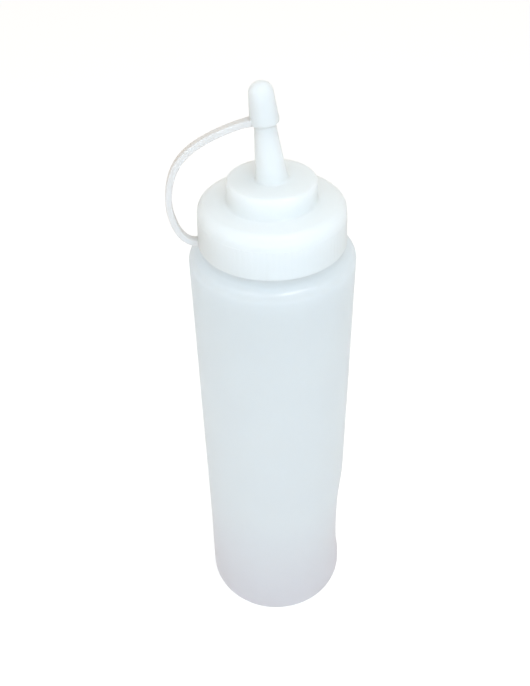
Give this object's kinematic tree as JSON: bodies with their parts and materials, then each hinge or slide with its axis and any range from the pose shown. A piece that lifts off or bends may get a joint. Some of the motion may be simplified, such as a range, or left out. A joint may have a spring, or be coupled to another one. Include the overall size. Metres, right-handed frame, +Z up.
{
  "type": "squeeze bottle",
  "caption": "Slim round squeeze bottle for sauces in frosted natural plastic, with a white screw lid, a stepped dome, a cone nozzle and a tethered tip cap",
  "frame": {"origin": "centre of the foot ring's plane, on the bottle's axis", "axes": "+Z up along the bottle's axis, -X towards the strap that ties the tip cap to the lid, +Y completing the right-handed frame"},
  "size_m": [0.0612, 0.0558, 0.2233],
  "materials": {
    "bottle_plastic": "frosted natural low-density polyethylene, blow moulded, waxy satin, translucent",
    "lid_plastic": "white low-density polyethylene, injection moulded, soft satin, slightly translucent"
  },
  "bodies": {
    "root": {"bottle": "bottle_plastic", "lid": "lid_plastic"}
  },
  "joints": []
}
